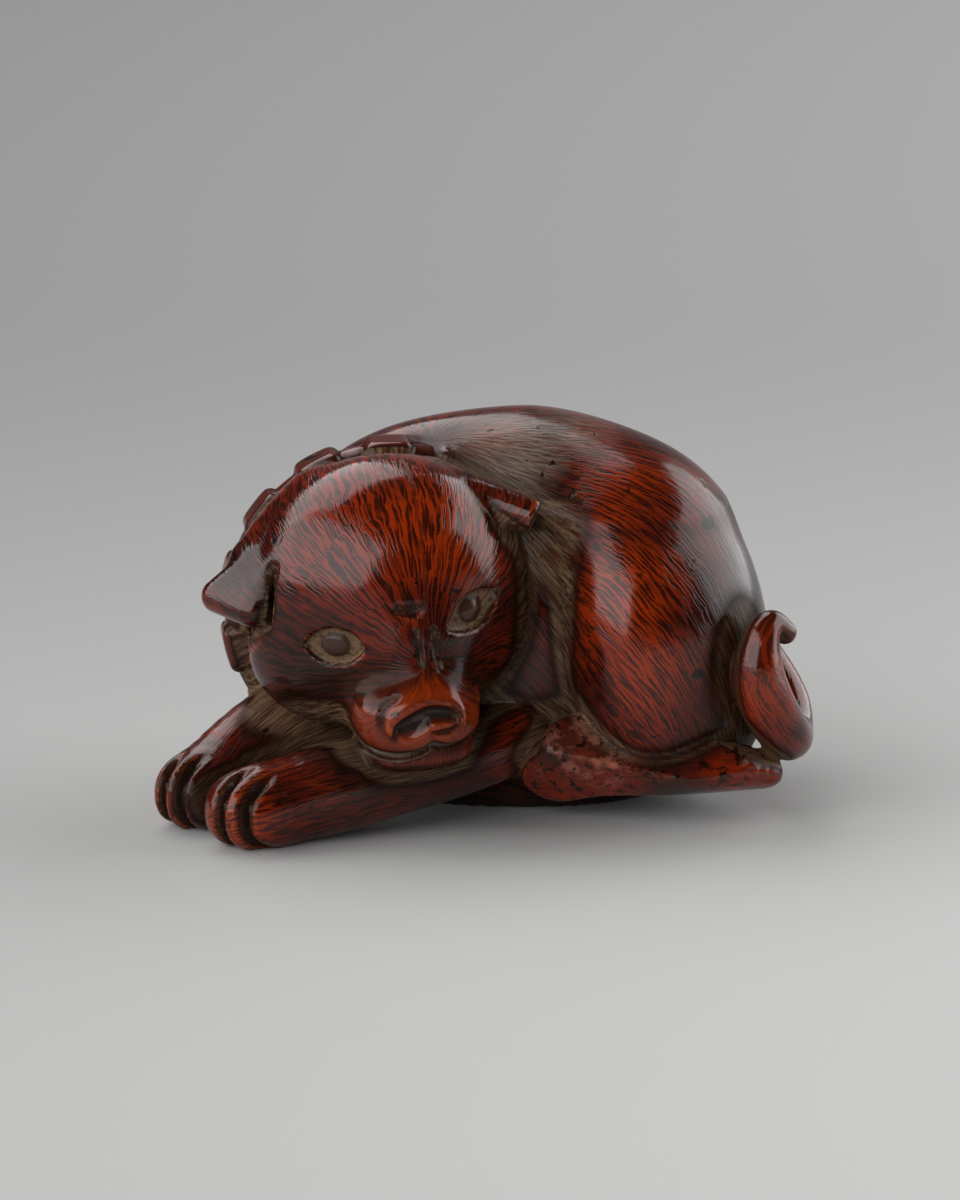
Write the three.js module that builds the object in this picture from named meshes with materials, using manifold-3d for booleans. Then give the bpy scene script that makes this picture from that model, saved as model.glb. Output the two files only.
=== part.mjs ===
// Netsuke of a puppy lying curled up, its head laid on crossed forepaws. One block of
// stained hardwood, so every form below is joined into a single solid.
// Millimetres, +X to the puppy's tail, -Y towards its face, +Z up.
import * as THREE from 'three';
import { ConvexGeometry } from 'three/addons/geometries/ConvexGeometry.js';
import { RoundedBoxGeometry } from 'three/addons/geometries/RoundedBoxGeometry.js';
import { mergeVertices } from 'three/addons/utils/BufferGeometryUtils.js';
import Module from 'manifold-3d';

const LENGTH = 44; // overall, paw to tail
const GRAIN = 0.01; // no detail is finer than this

const BODY_DETAIL = 8; // icosahedron divisions of the trunk
const HEAD_DETAIL = 9; // and of the head, drawn together at the muzzle
const MUZZLE_FOCUS = 0.5; // how strongly the head's points gather there

const TRUNK_TOP = 26.2; // the arched back
const HEAD_CENTRE = [-6.6, -4.6, 14.9];
const HEAD_TURN = { yaw: 9, pitch: 8, roll: -13 }; // the head leans on the near foreleg
const MUZZLE_CENTRE = [-5.1, -9.9, 8.7];
const MUZZLE_TURN = { yaw: 12, pitch: 6, roll: -3 };

const COLLAR_CENTRE = [-6.6, 0.9, 13.3];
const COLLAR_TURN = { yaw: 6, pitch: 4, roll: 0 };
const COLLAR_RADIUS = 9.85; // of the ring's centre line
const COLLAR_WIDTH = 1.4; // half the ring's section
const COLLAR_PADS = 14; // raised pads round the ring
const PAD_LENGTH = 3.3;
const FIRST_PAD = 91.4; // degrees from +X, seen from the front

const EYES = [ // in the head's own axes: right, back, up
  { centre: [-4.61, -6.33, 0.3], turn: { yaw: -33, roll: 8 }, length: 4.2, height: 2.6 },
  { centre: [4.71, -6.33, 0.4], turn: { yaw: 33, roll: -10 }, length: 4.8, height: 2.2 },
];
const GROOVE = 0.3; // half width of the knife-cut grooves
const PAW_YAW = -38; // both paws point this way

const CORD_HOLE_WIDE = 3.8; // the two cord holes in the underside
const CORD_HOLE_NARROW = 3.0;
const CORD_HOLE_SPACING = 9.0;
const CORD_TUNNEL_DEPTH = 4.2; // how far up the joining tunnel arches

// ---------------------------------------------------------------- helpers
const wasm = await Module();
wasm.setup();

const radians = THREE.MathUtils.degToRad;

// rotation of a part tilted by yaw about Z, then pitch about X, then roll about Y
function rotation({ yaw = 0, pitch = 0, roll = 0 } = {}) {
  const euler = new THREE.Euler(radians(pitch), radians(roll), radians(yaw), 'ZXY');
  return new THREE.Quaternion().setFromEuler(euler);
}

// a closed solid from a three.js geometry
function solid(geometry) {
  const plain = geometry.clone();
  plain.deleteAttribute('normal');
  plain.deleteAttribute('uv');
  const welded = mergeVertices(plain, 1e-4);
  const position = welded.attributes.position;
  const index = welded.index.array;
  const triangles = [];
  for (let i = 0; i < index.length; i += 3) {
    const [a, b, c] = [index[i], index[i + 1], index[i + 2]];
    if (a !== b && b !== c && c !== a) triangles.push(a, b, c);
  }
  return new wasm.Manifold(new wasm.Mesh({
    numProp: 3,
    vertProperties: new Float32Array(position.array),
    triVerts: new Uint32Array(triangles),
  }));
}

// signed distance to a tilted ellipsoid, or to a blunter form where power is over 2
function ellipsoid(centre, radii, turn, power = 2) {
  const middle = new THREE.Vector3(...centre);
  const back = rotation(turn).invert();
  const q = new THREE.Vector3();
  return (point) => {
    q.copy(point).sub(middle).applyQuaternion(back);
    const scaled = q.toArray().map((value, axis) => Math.abs(value) / radii[axis]);
    const level = Math.max(scaled.reduce((sum, value) => sum + value ** power, 0), 1e-9) ** (1 / power);
    const slope = Math.hypot(...scaled.map((value, axis) => (value / level) ** (power - 1) / radii[axis]));
    return (level - 1) / slope;
  };
}

// signed distance to a flat flap with rounded edges between three corners
function flap(corners, thickness) {
  const triangle = new THREE.Triangle(...corners.map((corner) => new THREE.Vector3(...corner)));
  const nearest = new THREE.Vector3();
  return (point) => triangle.closestPointToPoint(point, nearest).distanceTo(point) - thickness;
}

// two masses run into one another over a width, which may change with height
function blend(first, second, width) {
  return (point) => {
    const a = first(point);
    const b = second(point);
    const over = typeof width === 'function' ? width(point.z) : width;
    const h = THREE.MathUtils.clamp(0.5 + 0.5 * (b - a) / over, 0, 1);
    return b + (a - b) * h - over * h * (1 - h);
  };
}

// skin of a rounded mass: an icosahedron's points pushed out along their rays to the surface
function wrap(field, centre, detail, focus = new THREE.Vector3()) {
  const geometry = new THREE.IcosahedronGeometry(1, detail);
  const position = geometry.attributes.position;
  const middle = new THREE.Vector3(...centre);
  const ray = new THREE.Vector3();
  const point = new THREE.Vector3();
  for (let i = 0; i < position.count; i++) {
    ray.fromBufferAttribute(position, i).add(focus).normalize();
    let inside = 0;
    let outside = 30;
    for (let reach = 30; reach > 0; reach -= 0.5) {
      point.copy(middle).addScaledVector(ray, reach);
      if (field(point) < 0) {
        inside = reach;
        break;
      }
      outside = reach;
    }
    for (let step = 0; step < 14; step++) {
      const half = (inside + outside) / 2;
      point.copy(middle).addScaledVector(ray, half);
      if (field(point) < 0) inside = half;
      else outside = half;
    }
    point.copy(middle).addScaledVector(ray, inside);
    position.setXYZ(i, point.x, point.y, point.z);
  }
  return solid(geometry);
}

// round tapered limb with domed ends, through stations [x, y, z, radius]
function limb(stations, { rings = 10, sides = 10 } = {}) {
  const points = stations.map(([x, y, z]) => new THREE.Vector3(x, y, z));
  const radii = stations.map((station) => station[3]);
  const [first, second] = points;
  const [before, last] = points.slice(-2);
  const [startRadius, endRadius] = [radii[0], radii.at(-1)];
  const start = first.clone().sub(second).setLength(startRadius).add(first);
  const end = last.clone().sub(before).setLength(endRadius).add(last);
  const path = new THREE.CatmullRomCurve3([start, ...points, end]);
  const sizes = new THREE.CatmullRomCurve3(
    [startRadius, ...radii, endRadius].map((radius, i) => new THREE.Vector3(i, radius, 0)));
  const domed = (share) => (share < 1 ? Math.sqrt(1 - (1 - share) ** 2) : 1);

  const geometry = new THREE.TubeGeometry(path, rings, 1, sides);
  const position = geometry.attributes.position;
  const length = path.getLength();
  const centre = new THREE.Vector3();
  const point = new THREE.Vector3();
  for (let i = 0; i < position.count; i++) {
    const along = Math.floor(i / (sides + 1)) / rings;
    path.getPointAt(along, centre);
    const radius = sizes.getPoint(path.getUtoTmapping(along)).y
      * domed(along * length / startRadius) * domed((1 - along) * length / endRadius);
    point.fromBufferAttribute(position, i).sub(centre).multiplyScalar(radius).add(centre);
    position.setXYZ(i, point.x, point.y, point.z);
  }
  return solid(geometry);
}

// everything beyond a plane, as a block to cut away
function beyond(point, normal, width = 60) {
  const turn = new THREE.Quaternion().setFromUnitVectors(
    new THREE.Vector3(0, 0, 1), new THREE.Vector3(...normal).normalize());
  return solid(new THREE.BoxGeometry(width, width, 30)
    .translate(0, 0, 15)
    .applyQuaternion(turn)
    .translate(...point));
}

// a thin wedge, as a knife leaves it, between three corners
function slit(corners, halfWidth) {
  const [a, b, c] = corners.map((corner) => new THREE.Vector3(...corner));
  const normal = b.clone().sub(a).cross(c.clone().sub(a)).setLength(halfWidth);
  const points = [a, b, c].flatMap((corner) => [corner.clone().add(normal), corner.clone().sub(normal)]);
  return solid(new ConvexGeometry(points));
}

// one solid from many, and one solid less its cuts without the crumbs they leave
const joined = (parts) => parts.reduce((whole, part) => whole.add(part));
const carved = (whole, cuts) => cuts
  .reduce((left, cut) => left.subtract(cut), whole)
  .decompose()
  .reduce((largest, piece) => (piece.volume() > largest.volume() ? piece : largest));

// ---------------------------------------------------------------- trunk and haunches
// the arched back and shoulder, with the near thigh as a smooth dome and the far one beside it
const back = ellipsoid([2.4, 4.0, TRUNK_TOP - 15.2], [13.8, 9.6, 15.2]);
const shoulder = ellipsoid([-4.4, 4.8, 11.5], [11.2, 8.6, 13.2]);
const knee = ellipsoid([9.8, -1.5, 11.6], [5.2, 8.7, 10.4], { roll: -9 }, 2.1);
const rump = ellipsoid([12.3, -0.2, 12.0], [6.4, 7.7, 11.0], { roll: -11 }, 2.1);
const farThigh = ellipsoid([10.4, 7.6, 9.4], [7.7, 6.0, 9.6], { roll: -8 });
const thighJoin = (height) => 0.3 + 5.5 * THREE.MathUtils.clamp((height - 14.5) / 6, 0, 1);
const thigh = blend(knee, rump, 3);
const trunkField = blend(blend(blend(back, shoulder, 3), thigh, thighJoin), farThigh, 2.5);
const trunk = wrap(trunkField, [4.6, 1.5, 11], BODY_DETAIL);

// the chest under the collar, hidden behind the face
const chest = solid(new THREE.SphereGeometry(1, 16, 10).scale(8.6, 4.8, 10.2).translate(-3.4, -0.4, 11));

// ---------------------------------------------------------------- collar
// a pleated band: raised rectangular pads round a plain ring
function collar() {
  const turn = rotation(COLLAR_TURN);
  const place = (geometry) => geometry.applyQuaternion(turn).translate(...COLLAR_CENTRE);
  const ring = new THREE.TorusGeometry(COLLAR_RADIUS, COLLAR_WIDTH, 6, 28)
    .rotateX(Math.PI / 2)
    .scale(1, 1.15, 1);
  const pads = [];
  for (let i = 0; i < COLLAR_PADS; i++) {
    const angle = radians(FIRST_PAD) + i * 2 * Math.PI / COLLAR_PADS;
    const pad = new RoundedBoxGeometry(2.8, 3.0, PAD_LENGTH, 1, 0.6)
      .translate(COLLAR_RADIUS + 0.35, 0, 0)
      .rotateY(-angle);
    pads.push(solid(place(pad)));
  }
  return joined([solid(place(ring)), ...pads]);
}

// ---------------------------------------------------------------- head
const headTurn = rotation(HEAD_TURN);
const muzzleTurn = rotation(MUZZLE_TURN);

// a mass given in the axes of the head or the muzzle: right, back, up
function turnedMass(origin, turn, centre, radii, power) {
  const local = ellipsoid(centre, radii, {}, power);
  const middle = new THREE.Vector3(...origin);
  const back = turn.clone().invert();
  const q = new THREE.Vector3();
  return (point) => local(q.copy(point).sub(middle).applyQuaternion(back));
}

// skull and cheeks, then the lips, the bridge of the nose and the chin
const headMass = (...shape) => turnedMass(HEAD_CENTRE, headTurn, ...shape);
const muzzleMass = (...shape) => turnedMass(MUZZLE_CENTRE, muzzleTurn, ...shape);
const headField = [
  [muzzleMass([0, 0, 0.1], [4.25, 4.3, 2.5], 3), 1.3],
  [muzzleMass([0.5, 1.5, 3.3], [3.5, 3.9, 4.0]), 2.8],
  [muzzleMass([0.1, 0.35, -2.4], [3.9, 3.9, 1.4], 2.6), 0.5],
].reduce(
  (field, [mass, width]) => blend(field, mass, width),
  blend(headMass([-0.1, 0.3, 1.3], [9.4, 7.8, 8.5]), headMass([-0.6, -0.1, -2.6], [9.1, 6.0, 5.6]), 3),
);

// where a line straight into the face, right and up from the muzzle's middle, meets the wood
function onFace([x, z, ...rest]) {
  const point = new THREE.Vector3();
  for (let y = -8; y < 0; y += 0.02) {
    point.set(x - 0.25, y, z + 0.45).applyQuaternion(muzzleTurn).add(new THREE.Vector3(...MUZZLE_CENTRE));
    if (headField(point) < 0) break;
  }
  return [point.x, point.y, point.z, ...rest];
}

// the near ear is a thick flap that a slit parts from the brow, the far ear a square-ended lobe
function head() {
  const focus = new THREE.Vector3(0, -0.8, -0.6).applyQuaternion(headTurn).multiplyScalar(MUZZLE_FOCUS);
  const middle = new THREE.Vector3(0, -1.5, -1.5).applyQuaternion(headTurn);
  middle.add(new THREE.Vector3(...HEAD_CENTRE));
  const skull = wrap(headField, middle.toArray(), HEAD_DETAIL, focus);
  const earRoot = limb([[-11, -3, 20, 3.4], [-15.2, -5, 17.2, 2.2]], { rings: 6 });
  const nearEar = wrap(
    flap([[-12.4, -6.6, 20.4], [-18.0, -6.0, 15.4], [-15.7, -8.4, 15.0]], 1.15), [-15.4, -7, 16.9], 3);
  const parting = slit([[-14.2, -10, 18.6], [-14.8, -10.4, 14], [-14, -5.6, 15]], 0.2);
  const underEar = limb([
    [-14.6, -9.0, 18.0, 0.15], [-14.3, -8.6, 16.2, 0.7], [-14.4, -7.4, 14.2, 1.1], [-15.0, -5.2, 12.4, 1.3],
  ], { rings: 7, sides: 8 });
  const farEar = limb([
    [-4.0, -3.0, 22.3, 1.8], [-0.8, -5.0, 21.8, 1.5], [2.2, -6.2, 21.1, 1.2], [4.4, -6.7, 20.5, 1.0],
  ], { rings: 7, sides: 8 });
  const archOfThePad = limb([
    [-2.0, -0.5, 0.4], [-1.7, 0.6, 0.45], [-0.6, 1.4, 0.6], [0.7, 1.65, 0.65],
    [2.0, 1.3, 0.6], [2.7, 0.6, 0.45], [2.8, -0.2, 0.35],
  ].map(onFace), { rings: 10, sides: 6 });
  return joined([
    carved(joined([skull, earRoot]), [parting, underEar]),
    carved(nearEar, [parting]),
    carved(farEar, [beyond([3.1, -6.3, 20.9], [0.9, -0.15, -0.4])]),
    archOfThePad,
  ]);
}

// almond eye: a sunk socket with a low eyeball and a raised pupil in it
function eye({ centre, turn, length, height }) {
  const place = (geometry) => solid(geometry
    .applyQuaternion(rotation(turn))
    .translate(...centre)
    .applyQuaternion(headTurn)
    .translate(...HEAD_CENTRE));
  const bow = (length ** 2 - height ** 2) / (4 * height);
  const radius = bow + height / 2;
  const corner = Math.atan2(bow, length / 2);
  const almond = new THREE.Shape();
  almond.absarc(0, -bow, radius, corner, Math.PI - corner);
  almond.absarc(0, bow, radius, Math.PI + corner, -corner);
  const socket = new THREE.ExtrudeGeometry(almond, { depth: 3.2, bevelEnabled: false, curveSegments: 6 })
    .translate(0, 0, -1.6)
    .rotateX(Math.PI / 2);
  const ball = new THREE.SphereGeometry(1, 12, 8).scale(length / 2 + 0.2, 1.5, 1.5).translate(0, 1.15, 0);
  const pupil = new THREE.SphereGeometry(1, 10, 6).scale(0.9, 0.45, 0.75).translate(0, 0.1, 0.05);
  return { socket: place(socket), ball: joined([place(ball), place(pupil)]) };
}

// ---------------------------------------------------------------- knife cuts
// grooves of the face: lip line, nostrils and the two strokes on the bridge of the nose
function faceCuts() {
  const lipLine = [
    [-4.2, -1.5, 0.2], [-3.5, -2.1, 0.24], [-2.6, -2.45, 0.26], [-1.1, -2.55, 0.26], [0.2, -2.2, 0.26],
    [0.8, -1.75, GROOVE], [1.6, -2.0, 0.26], [2.6, -2.0, 0.24], [3.8, -1.5, 0.2],
  ];
  const nostrils = [
    [-1.5, -0.3, 0.35], [-0.7, 0.0, 0.55], [0.5, 0.45, 0.6], [1.6, 0.4, 0.5], [2.3, 0.1, 0.3],
  ];
  const cuts = [
    limb(lipLine.map(onFace), { rings: 16, sides: 4 }),
    limb(nostrils.map(onFace), { rings: 6, sides: 6 }),
  ];
  for (const x of [0.35, 1.6]) {
    const stroke = [[x, 5.4, 0.15], [x, 4.4, GROOVE], [x + 0.1, 3.2, 0.15]];
    cuts.push(limb(stroke.map(onFace), { rings: 5, sides: 4 }));
  }
  return cuts;
}

// ---------------------------------------------------------------- legs, feet and tail
// a blunt paw, and the grooves between its toes, each over the top and down the front
const PAWS = [
  { centre: [-15.2, -11.9, 2.4], radii: [3.2, 3.9, 2.7], grooves: [-0.3, 1.7] },
  { centre: [-19.2, -6.9, 2.3], radii: [2.7, 3.4, 2.6], grooves: [-0.9, 0.8] },
];
const PAW_POWER = 2.3; // a little blunter than an ellipsoid

function paw({ centre, radii }) {
  return wrap(ellipsoid(centre, radii, { yaw: PAW_YAW }, PAW_POWER), centre, 3);
}

function toeGrooves({ centre, radii, grooves }) {
  const turn = rotation({ yaw: PAW_YAW });
  const middle = new THREE.Vector3(...centre);
  return grooves.map((x) => {
    const share = (1 - Math.abs(x / radii[0]) ** PAW_POWER) ** (1 / PAW_POWER);
    const stations = [25, 45, 65, 85, 105].map((degrees, i) => {
      const angle = radians(degrees);
      const [forward, up] = [radii[1] * share * Math.sin(angle), radii[2] * share * Math.cos(angle)];
      const point = new THREE.Vector3(x, -forward, up);
      return [...point.applyQuaternion(turn).add(middle).toArray(), i === 0 ? 0.15 : GROOVE + 0.08];
    });
    return limb(stations, { rings: 6, sides: 4 });
  });
}

const nearForeleg = joined([
  limb([
    [1.6, -4.6, 5.4, 2.6], [-2.6, -7.2, 4.5, 2.6], [-6.2, -8.9, 3.9, 2.7],
    [-10.7, -10.4, 3.3, 3.1], [-14.0, -11.6, 2.7, 2.7],
  ], { rings: 12 }),
  paw(PAWS[0]),
]);
const farForeleg = joined([
  limb([
    [-11.0, -0.6, 6.0, 3.6], [-14.4, -2.2, 4.9, 3.2], [-17.2, -4.6, 3.6, 2.8], [-18.9, -6.6, 2.6, 2.4],
  ]),
  paw(PAWS[1]),
]);
// the near hind foot is worn to three planes, which meet in a ridge along it
const nearHindFoot = carved(limb([
  [4.6, -6.6, 3.5, 2.5], [6.9, -7.2, 4.8, 3.1], [9.6, -7.2, 4.3, 2.4],
  [12.8, -7.0, 3.9, 2.2], [16.0, -6.4, 3.6, 1.9], [18.2, -5.6, 3.2, 1.45],
], { rings: 12 }), [
  beyond([4.6, -9.3, 5.0], [-0.6, -0.77, 0.21]),
  beyond([9.0, -9.0, 4.3], [-0.16, -0.78, -0.6]),
  beyond([9.0, -9.0, 4.4], [0.1, -0.75, 0.65]),
]);
const farHindFoot = limb(
  [[2.0, 11.2, 2.0, 1.8], [8.5, 12.6, 2.2, 1.9], [14.5, 11.4, 2.2, 1.8]], { rings: 8, sides: 9 });

// the tail hooks round in front of itself and leaves a narrow hollow
const tail = limb([
  [14.6, 4.4, 12.4, 2.2], [17.4, 2.6, 10.0, 1.9], [19.8, 0.2, 7.0, 1.7], [20.2, -2.6, 5.2, 1.6],
  [19.7, -5.0, 5.9, 1.75], [18.5, -6.8, 8.3, 1.85], [17.9, -7.3, 10.6, 1.7], [18.1, -7.1, 12.7, 1.25],
  [18.8, -6.5, 13.6, 0.95], [19.7, -5.9, 12.9, 0.8],
], { rings: 20, sides: 9 });

// ---------------------------------------------------------------- underside
// two cord holes of unequal width, joined inside the belly, the flat it stands on, and the
// undercut below the near hind foot
function underside() {
  const half = CORD_HOLE_SPACING / 2;
  const [wide, narrow] = [CORD_HOLE_WIDE / 2, CORD_HOLE_NARROW / 2];
  const tunnel = limb([
    [2.6 + half, 4.4, -3, wide], [2.6 + half, 4.4, 1, wide],
    [2.6 + half / 2, 4.4, CORD_TUNNEL_DEPTH, narrow], [2.6 - half / 2, 4.4, CORD_TUNNEL_DEPTH, narrow],
    [2.6 - half, 4.4, 1, narrow], [2.6 - half, 4.4, -3, narrow],
  ], { rings: 12, sides: 10 });
  const ground = solid(new THREE.BoxGeometry(80, 80, 20).translate(0, 0, -10));
  const undercut = beyond([18, -4.6, 0.2], [0, -0.36, -0.93], 30);
  return [tunnel, ground, undercut];
}

// ---------------------------------------------------------------- the finished carving
const eyes = EYES.map(eye);
const face = joined([
  carved(head(), [...faceCuts(), ...eyes.map(({ socket }) => socket)]),
  ...eyes.map(({ ball }) => ball),
]);
const whole = joined([
  trunk, chest, collar(), face, nearForeleg, farForeleg, nearHindFoot, farHindFoot, tail,
]);
const carving = carved(whole, [...PAWS.flatMap(toeGrooves), ...underside()]);

// to its finished length, centred over the ground, each point on a grid of GRAIN
const box = carving.boundingBox();
const scale = LENGTH / (box.max[0] - box.min[0]);
const mesh = carving.getMesh();
const shape = new THREE.BufferGeometry();
shape.setAttribute('position', new THREE.BufferAttribute(new Float32Array(mesh.vertProperties), 3));
shape.setIndex(new THREE.BufferAttribute(new Uint32Array(mesh.triVerts), 1));
shape.translate(-(box.min[0] + box.max[0]) / 2, -(box.min[1] + box.max[1]) / 2, -box.min[2]);
shape.scale(scale, scale, scale);
const onGrid = shape.attributes.position.array.map((value) => Math.round(value / GRAIN) * GRAIN);
shape.setAttribute('position', new THREE.BufferAttribute(onGrid, 3));
const welded = carved(solid(shape), []).getMesh();
shape.setAttribute('position', new THREE.BufferAttribute(new Float32Array(welded.vertProperties), 3));
shape.setIndex(new THREE.BufferAttribute(new Uint32Array(welded.triVerts), 1));

const stainedWood = new THREE.MeshStandardMaterial({ color: '#5c2317', roughness: 0.35, metalness: 0 });
const netsuke = new THREE.Mesh(shape, stainedWood);
netsuke.name = 'netsuke';

const group = new THREE.Group();
group.add(netsuke);
export default group;
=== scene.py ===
"""Netsuke of a puppy lying curled up with its head on its forepaws, carved from one block of
stained hardwood. The carving is described cut by cut, in the order a carver works, in
millimetres: +X runs towards the tail, +Y away from the face and +Z up."""

import bpy
import numpy as np
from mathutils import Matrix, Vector


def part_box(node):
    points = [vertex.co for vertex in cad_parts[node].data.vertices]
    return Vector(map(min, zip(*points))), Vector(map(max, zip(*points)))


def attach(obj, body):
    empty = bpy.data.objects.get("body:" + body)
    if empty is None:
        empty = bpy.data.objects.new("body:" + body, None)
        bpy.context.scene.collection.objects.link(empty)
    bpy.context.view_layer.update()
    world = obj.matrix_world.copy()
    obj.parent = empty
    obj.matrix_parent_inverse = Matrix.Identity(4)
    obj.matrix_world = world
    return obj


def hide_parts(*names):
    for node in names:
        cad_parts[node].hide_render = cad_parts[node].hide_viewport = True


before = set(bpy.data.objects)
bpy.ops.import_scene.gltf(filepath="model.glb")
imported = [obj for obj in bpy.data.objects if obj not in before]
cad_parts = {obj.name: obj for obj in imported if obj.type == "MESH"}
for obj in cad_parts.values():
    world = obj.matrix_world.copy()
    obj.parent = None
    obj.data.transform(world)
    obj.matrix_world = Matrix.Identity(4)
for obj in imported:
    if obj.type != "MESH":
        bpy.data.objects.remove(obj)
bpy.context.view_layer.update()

# ---------------------------------------------------------------- the block and the trunk
# A single block of close-grained hardwood. Everything below is one mass of it: each form is
# the distance in millimetres from a point to the wood's surface, negative inside the wood,
# and forms are run together or cut away as a knife and file would leave them.


def turned(yaw=0.0, pitch=0.0, roll=0.0):
    """Axes of a form turned by yaw about Z, then pitch about X, then roll about Y, as columns."""
    a, b, c = np.radians([yaw, pitch, roll])
    about_z = np.array([[np.cos(a), -np.sin(a), 0], [np.sin(a), np.cos(a), 0], [0, 0, 1]])
    about_x = np.array([[1, 0, 0], [0, np.cos(b), -np.sin(b)], [0, np.sin(b), np.cos(b)]])
    about_y = np.array([[np.cos(c), 0, np.sin(c)], [0, 1, 0], [-np.sin(c), 0, np.cos(c)]])
    return (about_z @ about_x @ about_y).astype(np.float32)


def rounded(points, centre, radii, axes=None, power=2.0):
    """An egg-shaped mass, or a blunter one where power is over 2."""
    local = points - np.array(centre, np.float32)
    if axes is not None:
        local = local @ axes
    scaled = np.abs(local) / np.array(radii, np.float32)
    level = np.maximum((scaled**power).sum(-1), 1e-9) ** (1 / power)
    slope = (scaled / level[..., None]) ** (power - 1) / np.array(radii, np.float32)
    return (level - 1) / np.maximum(np.linalg.norm(slope, axis=-1), 1e-3)


def run_together(first, second, width):
    """Both masses, filed into one another over a width."""
    share = np.clip(0.5 + 0.5 * (second - first) / width, 0, 1)
    return second + (first - second) * share - width * share * (1 - share)


def cut_away(wood, tool, width):
    """The wood less what the tool takes out, with the edges eased over a width."""
    return -run_together(-wood, tool, width)


def past_plane(points, corner, facing):
    """How far points lie past a plane, given by a corner on it and the way it faces."""
    return (points - np.array(corner, np.float32)) @ np.array(facing, np.float32)


def trunk(points):
    """The arched back and shoulder, the near thigh as a smooth dome, and the far thigh."""
    back = rounded(points, (2.4, 4.0, 11.0), (13.8, 9.6, 15.2))
    shoulder = rounded(points, (-4.4, 4.8, 11.5), (11.2, 8.6, 13.2))
    knee = rounded(points, (9.8, -1.5, 11.6), (5.2, 8.7, 10.4), turned(roll=-9), power=2.1)
    rump = rounded(points, (12.3, -0.2, 12.0), (6.4, 7.7, 11.0), turned(roll=-11), power=2.1)
    near_thigh = run_together(knee, rump, 3.0)
    far_thigh = rounded(points, (10.4, 7.6, 9.4), (7.7, 6.0, 9.6), turned(roll=-8))
    chest = rounded(points, (-3.4, -0.4, 11.0), (8.6, 4.8, 10.2))
    body = run_together(back, shoulder, 3.0)
    # The crease before the near thigh is sharp low down and melts into the back higher up.
    melting = np.clip((points[..., 2] - 14.5) / 6, 0, 1)
    body = run_together(body, near_thigh, 0.3 + 5.5 * melting)
    body = run_together(body, far_thigh, 2.5)
    return run_together(body, chest, 1.0)


# ---------------------------------------------------------------- collar
# A pleated band round the neck, carved as raised rectangular pads with narrow sunk gaps
# between them. It is left smooth, without hair strokes.
COLLAR_CENTRE = (-6.6, 0.9, 13.3)
COLLAR_AXES = turned(yaw=6, pitch=4)
BAND_RADIUS = 9.85  # of the neck, to the middle of the band
BAND_HALF_THICKNESS = 1.4
PADS = 14
FIRST_PAD = np.radians(91.4)  # round the neck, from the tail side
PAD_RADIUS = 10.2  # of the neck, to the middle of a pad
PAD_FACE_RADIUS = 11.0  # and to its outer face, along which its length is measured
PAD_HALF = (1.0, 0.85, 0.75)  # half its length, width and height, less its rounded edge
PAD_EDGE = 0.65


def collar(points):
    local = (points - np.array(COLLAR_CENTRE, np.float32)) @ COLLAR_AXES
    angle = np.arctan2(local[..., 2], local[..., 0])
    radius = np.hypot(local[..., 0], local[..., 2])
    band = np.hypot(radius - BAND_RADIUS, local[..., 1] * 0.85) - BAND_HALF_THICKNESS
    pitch = 2 * np.pi / PADS
    along = (angle - FIRST_PAD + pitch / 2) % pitch - pitch / 2
    half_length, half_width, half_height = PAD_HALF
    beyond = np.stack(
        [
            np.abs(along) * PAD_FACE_RADIUS - half_length,
            np.abs(local[..., 1]) - half_width,
            np.abs(radius - PAD_RADIUS) - half_height,
        ],
        axis=-1,
    )
    pad = np.linalg.norm(np.maximum(beyond, 0), axis=-1) + np.minimum(beyond.max(-1), 0)
    return run_together(band, pad - PAD_EDGE, 0.15)


# ---------------------------------------------------------------- head
# The head lies on the near foreleg, turned a little towards the near side: a domed skull,
# full cheeks, and a short blunt muzzle that is turned a little more, with a chin under it.
HEAD_CENTRE = np.array((-6.6, -4.6, 14.9), np.float32)
HEAD_AXES = turned(yaw=9, pitch=8, roll=-13)
MUZZLE_CENTRE = np.array((-5.1, -9.9, 8.7), np.float32)
MUZZLE_AXES = turned(yaw=12, pitch=6, roll=-3)


def in_head(points):
    """Points in the head's own axes: right, back and up from its middle."""
    return (points - HEAD_CENTRE) @ HEAD_AXES


def in_muzzle(points):
    """Points in the muzzle's own axes: right, back and up from its middle."""
    return (points - MUZZLE_CENTRE) @ MUZZLE_AXES


def skull(points):
    local = in_head(points)
    dome = rounded(local, (-0.1, 0.3, 1.3), (9.4, 7.8, 8.5))
    cheeks = rounded(local, (-0.6, -0.1, -2.6), (9.1, 6.0, 5.6))
    head = run_together(dome, cheeks, 3.0)
    local = in_muzzle(points)
    lip = rounded(local, (0, 0, 0.1), (4.25, 4.3, 2.5), power=3.0)
    bridge = rounded(local, (0.5, 1.5, 3.3), (3.5, 3.9, 4.0))
    chin = rounded(local, (0.1, 0.35, -2.4), (3.9, 3.9, 1.4), power=2.6)
    head = run_together(head, lip, 1.3)
    head = run_together(head, bridge, 2.8)
    return run_together(head, chin, 0.5)


# ---------------------------------------------------------------- ears
# The near ear is a thick flap that runs on from the crown to a rounded tip, and a deep slit
# parts it from the brow. The far ear is a short square-ended lobe.
REACH = 3.0  # past this distance a slender form no longer matters


def near_to(points, stations, reach):
    """Which points are close enough to a slender form to be measured from it."""
    stations = np.array(stations, np.float32)
    low, high = stations.min(0) - reach, stations.max(0) + reach
    return ((points > low) & (points < high)).all(-1)


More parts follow.
